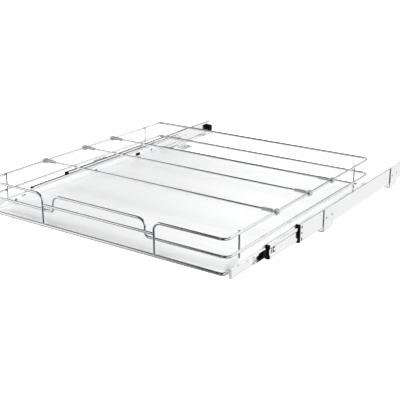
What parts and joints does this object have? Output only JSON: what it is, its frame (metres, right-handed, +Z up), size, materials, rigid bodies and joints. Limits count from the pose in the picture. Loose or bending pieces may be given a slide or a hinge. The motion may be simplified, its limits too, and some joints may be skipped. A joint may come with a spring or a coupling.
{
  "type": "pull out cabinet basket",
  "caption": "Pull-out cabinet basket: chromed wire gallery on a ribbed sheet tray, with sliding cross dividers, on a pair of three-part ball slides with floor brackets.",
  "frame": {"origin": "on the cabinet floor, in the middle of the four floor screws", "axes": "+X to the right seen from the front, +Y to the back of the cabinet, +Z up; stored pulled out part of the way, as in the picture"},
  "size_m": [0.5716, 0.7795, 0.0929],
  "materials": {
    "chrome_wire": "polished",
    "tray_chrome": "satin",
    "slide_steel": "bright zinc",
    "bracket_steel": "bright zinc",
    "ball_steel": "polished",
    "screw_steel": "zinc",
    "black_plastic": "fine grain",
    "grey_plastic": "satin"
  },
  "bodies": {
    "cabinet_rails": {"bracket_front_left": "bracket_steel", "bracket_front_right": "bracket_steel", "bracket_rear_left": "bracket_steel", "bracket_rear_right": "bracket_steel", "outer_rail_left": "slide_steel", "outer_rail_right": "slide_steel", "front_buffer_left": "black_plastic", "front_buffer_right": "black_plastic", "rear_buffer_left": "black_plastic", "rear_buffer_right": "black_plastic"},
    "basket": {"tray": "tray_chrome", "base_wire": "chrome_wire", "middle_wire": "chrome_wire", "top_wire": "chrome_wire", "handle_wire": "chrome_wire", "upright_front_left": "chrome_wire", "upright_front_right": "chrome_wire", "upright_rear_left": "chrome_wire", "upright_rear_right": "chrome_wire", "inner_rail_left": "slide_steel", "inner_rail_right": "slide_steel", "lever_pin_left": "black_plastic", "lever_pin_right": "black_plastic", "tray_screws_left": "screw_steel", "tray_screws_right": "screw_steel", "rear_clip_left": "black_plastic", "rear_clip_right": "black_plastic"},
    "middle_rail_left": {"middle_rail_left": "slide_steel", "middle_buffer_left": "black_plastic", "middle_stop_left": "black_plastic"},
    "outer_cage_left": {"outer_cage_left": "slide_steel", "outer_balls_left": "ball_steel"},
    "inner_cage_left": {"inner_cage_left": "slide_steel", "inner_balls_left": "ball_steel"},
    "release_lever_left": {"release_lever_left": "black_plastic"},
    "middle_rail_right": {"middle_rail_right": "slide_steel", "middle_buffer_right": "black_plastic", "middle_stop_right": "black_plastic"},
    "outer_cage_right": {"outer_cage_right": "slide_steel", "outer_balls_right": "ball_steel"},
    "inner_cage_right": {"inner_cage_right": "slide_steel", "inner_balls_right": "ball_steel"},
    "release_lever_right": {"release_lever_right": "black_plastic"},
    "divider_front": {"divider_rod_front": "chrome_wire", "divider_clip_front_left": "grey_plastic", "divider_clip_front_right": "grey_plastic"},
    "divider_middle": {"divider_rod_middle": "chrome_wire", "divider_clip_middle_left": "grey_plastic", "divider_clip_middle_right": "grey_plastic"},
    "divider_rear": {"divider_rod_rear": "chrome_wire", "divider_clip_rear_left": "grey_plastic", "divider_clip_rear_right": "grey_plastic"}
  },
  "joints": [
    {"name": "basket_slide", "type": "slide", "parent": "cabinet_rails", "child": "basket", "axis": [0, -1, 0], "range_m": [-0.214, 0.33]},
    {"name": "middle_rail_slide_left", "type": "slide", "parent": "cabinet_rails", "child": "middle_rail_left", "axis": [0, -1, 0], "range_m": [-0.107, 0.165]},
    {"name": "outer_cage_slide_left", "type": "slide", "parent": "cabinet_rails", "child": "outer_cage_left", "axis": [0, -1, 0], "range_m": [-0.0535, 0.0825]},
    {"name": "inner_cage_slide_left", "type": "slide", "parent": "cabinet_rails", "child": "inner_cage_left", "axis": [0, -1, 0], "range_m": [-0.1605, 0.2475]},
    {"name": "lever_pivot_left", "type": "hinge", "parent": "basket", "child": "release_lever_left", "pos_m": [-0.27415, -0.3805, 0.027], "axis": [-1, 0, 0], "range_deg": [0, 4], "stiffness_Nm_per_rad": 0.05},
    {"name": "middle_rail_slide_right", "type": "slide", "parent": "cabinet_rails", "child": "middle_rail_right", "axis": [0, -1, 0], "range_m": [-0.107, 0.165]},
    {"name": "outer_cage_slide_right", "type": "slide", "parent": "cabinet_rails", "child": "outer_cage_right", "axis": [0, -1, 0], "range_m": [-0.0535, 0.0825]},
    {"name": "inner_cage_slide_right", "type": "slide", "parent": "cabinet_rails", "child": "inner_cage_right", "axis": [0, -1, 0], "range_m": [-0.1605, 0.2475]},
    {"name": "lever_pivot_right", "type": "hinge", "parent": "basket", "child": "release_lever_right", "pos_m": [0.27415, -0.3805, 0.027], "axis": [-1, 0, 0], "range_deg": [0, 4], "stiffness_Nm_per_rad": 0.05},
    {"name": "divider_front_slide", "type": "slide", "parent": "basket", "child": "divider_front", "axis": [0, 1, 0], "range_m": [-0.104, 0.054]},
    {"name": "divider_middle_slide", "type": "slide", "parent": "basket", "child": "divider_middle", "axis": [0, 1, 0], "range_m": [-0.054, 0.04]},
    {"name": "divider_rear_slide", "type": "slide", "parent": "basket", "child": "divider_rear", "axis": [0, 1, 0], "range_m": [-0.04, 0.105]}
  ],
  "couplings": [
    {"joint": "middle_rail_slide_left", "follows": "basket_slide", "ratio": 0.5},
    {"joint": "outer_cage_slide_left", "follows": "basket_slide", "ratio": 0.25},
    {"joint": "inner_cage_slide_left", "follows": "basket_slide", "ratio": 0.75},
    {"joint": "middle_rail_slide_right", "follows": "basket_slide", "ratio": 0.5},
    {"joint": "outer_cage_slide_right", "follows": "basket_slide", "ratio": 0.25},
    {"joint": "inner_cage_slide_right", "follows": "basket_slide", "ratio": 0.75}
  ]
}
